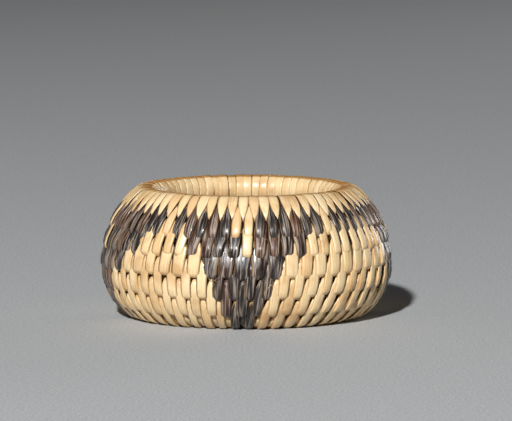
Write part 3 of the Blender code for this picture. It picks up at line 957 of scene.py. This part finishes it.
def bundle_course(name, first, last):
    """The course of a bundle: points with their turn, size and the ways out of and down the wall."""
    facts = {"turn": [], "size": [], "out_way": [], "down_way": []}
    places = []
    start, end = (math.floor(turn * COIL_POINTS_PER_TURN) for turn in (first, last))
    for index in range(start, end + 1):
        turn = index / COIL_POINTS_PER_TURN
        angle = BACK - math.tau * turn
        radius, height, facing = outline(pitch() * max(climb(turn), 0.0))
        size = TIP_SHARE + (1 - TIP_SHARE) * min(turn / TIP_TURNS, 1.0)
        if turn > TURNS:
            gone = (turn - TURNS) / KNOT_TURNS
            radius, height, facing = TAIL_RADIUS * (1 - gone), WALL_HALF, -math.pi / 2
            size = 1 + (KNOT_SHARE - 1) * gone
        away = Vector((math.cos(angle), math.sin(angle), 0.0))
        up = Vector((0.0, 0.0, 1.0))
        facts["turn"].append(turn)
        facts["size"].append(size)
        facts["out_way"].append(away * math.cos(facing) + up * math.sin(facing))
        facts["down_way"].append(away * math.sin(facing) - up * math.cos(facing))
        places.append(away * radius + up * height)
    edges = [(index, index + 1) for index in range(len(places) - 1)]
    return new_points(name, places, edges, facts)


def dress(piece, nodes):
    """Attach a finished piece to the root, and hide the frame's solids that it stands in for."""
    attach(piece, "root")
    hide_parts(*nodes)


def bundle(name, first, last):
    """A twisted bundle of stems from one turn to another."""
    tree = bpy.data.node_groups.get("stem bundle") or stem_tree()
    return run_tree(bundle_course(name, first, last), tree, {
        "Stems": STEMS, "Stem sides": STEM_SIDES, "Twist": STEM_TWIST,
        "Stems across": STEMS_ACROSS, "Stems along": STEMS_ALONG, "Stem radius": STEM_RADIUS,
        "Finish": material("dry_grass_bundle")})


class MakeFoundation(bpy.types.Operator):
    """Wind the grass bundle from the rim to the start knot"""

    bl_idname = "basket.foundation"
    bl_label = "Grass foundation"

    def execute(self, context):
        dress(bundle("grass_foundation", 0.0, TURNS), ["foundation_coil"])
        return {"FINISHED"}


class MakeKnot(bpy.types.Operator):
    """Wind the end of the bundle into the start knot in the middle of the base"""

    bl_idname = "basket.knot"
    bl_label = "Start knot"

    def execute(self, context):
        dress(bundle("grass_start_knot", TURNS, TURNS + KNOT_TURNS), ["start_knot"])
        return {"FINISHED"}


class SewRim(bpy.types.Operator):
    """Sew the rim with stitches that wrap its crest"""

    bl_idname = "basket.rim"
    bl_label = "Rim stitches"

    def execute(self, context):
        chosen = [stitch for stitch in all_stitches() if stitch["row"] == 0]
        finish = material("peeled_willow_splint")
        thick = sizes().splint_thick * RIM_THIN_SHARE
        piece = sew("pale_rim_stitches", chosen, RIM_SHARES, finish, thick)
        dress(piece, splint_nodes("light", (1,)))
        return {"FINISHED"}


# Kinds of stitch: name, whether it belongs to a figure, the solids' name, the finish and its slot
STITCH_KINDS = (
    ("pale", False, "light", "peeled_willow_splint", "pale_splint"),
    ("dark", True, "dark", "dark_seed_pod_splint", "dark_splint"),
)

# Bands of the wall: name, the loops of the pale and of the dark stitches, and the rows. The dark
# stitches of the shoulder have the base's broad loop, so that they cover the bundle.
STITCH_BANDS = (
    ("teeth", TOOTH_SHARES, TOOTH_SHARES, TOOTH_ROWS),
    ("shoulder_stitches", pointed(WALL_SHARES), BASE_SHARES, POINTED_ROWS),
    ("wall_stitches", WALL_SHARES, WALL_SHARES, range(FIRST_WALL_ROW, FIRST_BASE_ROW)),
    ("base_stitches", BASE_SHARES, BASE_SHARES, range(FIRST_BASE_ROW, len(STITCH_COUNTS))),
)


class SewWall(bpy.types.Operator):
    """Sew the wall and the base with pale stitches, and the figures with dark ones"""

    bl_idname = "basket.wall"
    bl_label = "Wall and base stitches"

    def execute(self, context):
        stitches = all_stitches()
        for colour, dark, solid_colour, finish, slot in STITCH_KINDS:
            for band, pale_shares, dark_shares, rows in STITCH_BANDS:
                name = "%s_%s" % (colour, band)
                shares = dark_shares if dark else pale_shares
                chosen = [stitch for stitch in stitches
                          if stitch["row"] in rows and stitch["dark"] == dark]
                piece = sew(name, chosen, shares, material(finish), sizes().splint_thick)
                dress(piece, splint_nodes(solid_colour, [row + 1 for row in rows]))
        return {"FINISHED"}


class FrayFibres(bpy.types.Operator):
    """Fray thin fibres from the edges of the splints"""

    bl_idname = "basket.fibres"
    bl_label = "Loose fibres"

    def execute(self, context):
        finish = material("peeled_willow_splint")
        piece = sew("frayed_fibres", all_fibres(), FIBRE_SHARES, finish, FIBRE_THICK)
        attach(piece, "root")
        return {"FINISHED"}


def lay_floor(scene):
    """A wide floor of matt paper: pale grey, without shine and with a fine grain."""
    corners = [(x * FLOOR_REACH, y * FLOOR_REACH, -FLOOR_DROP)
               for x, y in ((-1, -1), (1, -1), (1, 1), (-1, 1))]
    mesh = bpy.data.meshes.new("floor")
    mesh.from_pydata(corners, [], [(0, 1, 2, 3)])
    floor = bpy.data.objects.new("floor", mesh)
    scene.collection.objects.link(floor)
    paper, tree, shader = new_finish("matt_paper_floor")
    shader["Roughness"].default_value = FLOOR_ROUGHNESS
    darker, lighter = (tuple(channel * share for channel in colours().floor[:3]) + (1.0,)
                       for share in (FLOOR_DARK_SHARE, FLOOR_LIGHT_SHARE))
    facts = {"grain": spots(tree, FLOOR_GRAIN, FLOOR_GRAIN_DETAIL)}
    colour = layer_colours(tree, facts, darker, (("grain", *FLOOR_LEVELS, 1.0, lighter),))
    tree.links.new(colour, shader["Base Color"])
    floor.data.materials.append(paper)


def set_lights(scene):
    """A faint sky, the key lamp and two weak lamps low at the left and the back."""
    world = bpy.data.worlds.new("studio")
    scene.world = world
    world.use_nodes = True
    sky = world.node_tree.nodes["Background"]
    sky.inputs["Color"].default_value = srgb(WORLD_COLOUR)
    sky.inputs["Strength"].default_value = WORLD_STRENGTH
    for name, spot, size, power in LAMPS:
        lamp = bpy.data.lights.new(name, "AREA")
        lamp.size = size
        lamp.energy = power
        holder = bpy.data.objects.new(name, lamp)
        holder.location = spot
        holder.rotation_euler = (-Vector(spot)).to_track_quat("-Z", "Y").to_euler()
        scene.collection.objects.link(holder)


def set_camera(scene):
    """The camera, level sideways and turned until axis and aim fall on their pixels."""
    camera = bpy.data.cameras.new("camera")
    camera.sensor_width = SENSOR
    camera.lens = CAMERA_LENS
    focal_pixels = CAMERA_LENS / SENSOR * PICTURE_WIDTH
    up_turn = math.atan((AIM_PIXEL - PICTURE_HEIGHT / 2) / focal_pixels)
    side_turn = math.atan((PICTURE_WIDTH / 2 - AXIS_PIXEL) / focal_pixels)
    holder = bpy.data.objects.new("camera", camera)
    holder.location = (0.0, -CAMERA_DISTANCE * math.cos(CAMERA_ELEVATION),
                       AIM_HEIGHT + CAMERA_DISTANCE * math.sin(CAMERA_ELEVATION))
    holder.rotation_euler = (math.pi / 2 - CAMERA_ELEVATION + up_turn, 0.0, -side_turn)
    scene.collection.objects.link(holder)
    scene.camera = holder


class SetStage(bpy.types.Operator):
    """Set out the floor, the lamps, the world and the camera"""

    bl_idname = "basket.stage"
    bl_label = "Stage"

    def execute(self, context):
        context.scene.view_settings.view_transform = "Standard"
        lay_floor(context.scene)
        set_lights(context.scene)
        set_camera(context.scene)
        return {"FINISHED"}


class BasketPanel(bpy.types.Panel):
    """The basket's sizes, colours and steps"""

    bl_idname = "VIEW3D_PT_basket"
    bl_label = "Basket"
    bl_space_type = "VIEW_3D"
    bl_region_type = "UI"
    bl_category = "Basket"

    def draw(self, context):
        for group in (context.scene.basket_sizes, context.scene.basket_colours):
            for name in group.__annotations__:
                self.layout.prop(group, name)
        for step in STEPS:
            self.layout.operator(step.bl_idname)


STEPS = (MakeFoundation, MakeKnot, SewRim, SewWall, FrayFibres, SetStage)
CLASSES = (BasketSizes, BasketColours, *STEPS, BasketPanel)


def register():
    for entry in CLASSES:
        bpy.utils.register_class(entry)
    bpy.types.Scene.basket_sizes = bpy.props.PointerProperty(type=BasketSizes)
    bpy.types.Scene.basket_colours = bpy.props.PointerProperty(type=BasketColours)


def unregister():
    del bpy.types.Scene.basket_colours
    del bpy.types.Scene.basket_sizes
    for entry in reversed(CLASSES):
        bpy.utils.unregister_class(entry)


def main():
    """Make every piece in order."""
    register()
    bpy.ops.basket.foundation()
    bpy.ops.basket.knot()
    bpy.ops.basket.rim()
    bpy.ops.basket.wall()
    bpy.ops.basket.fibres()
    bpy.ops.basket.stage()


if __name__ == "__main__":
    main()
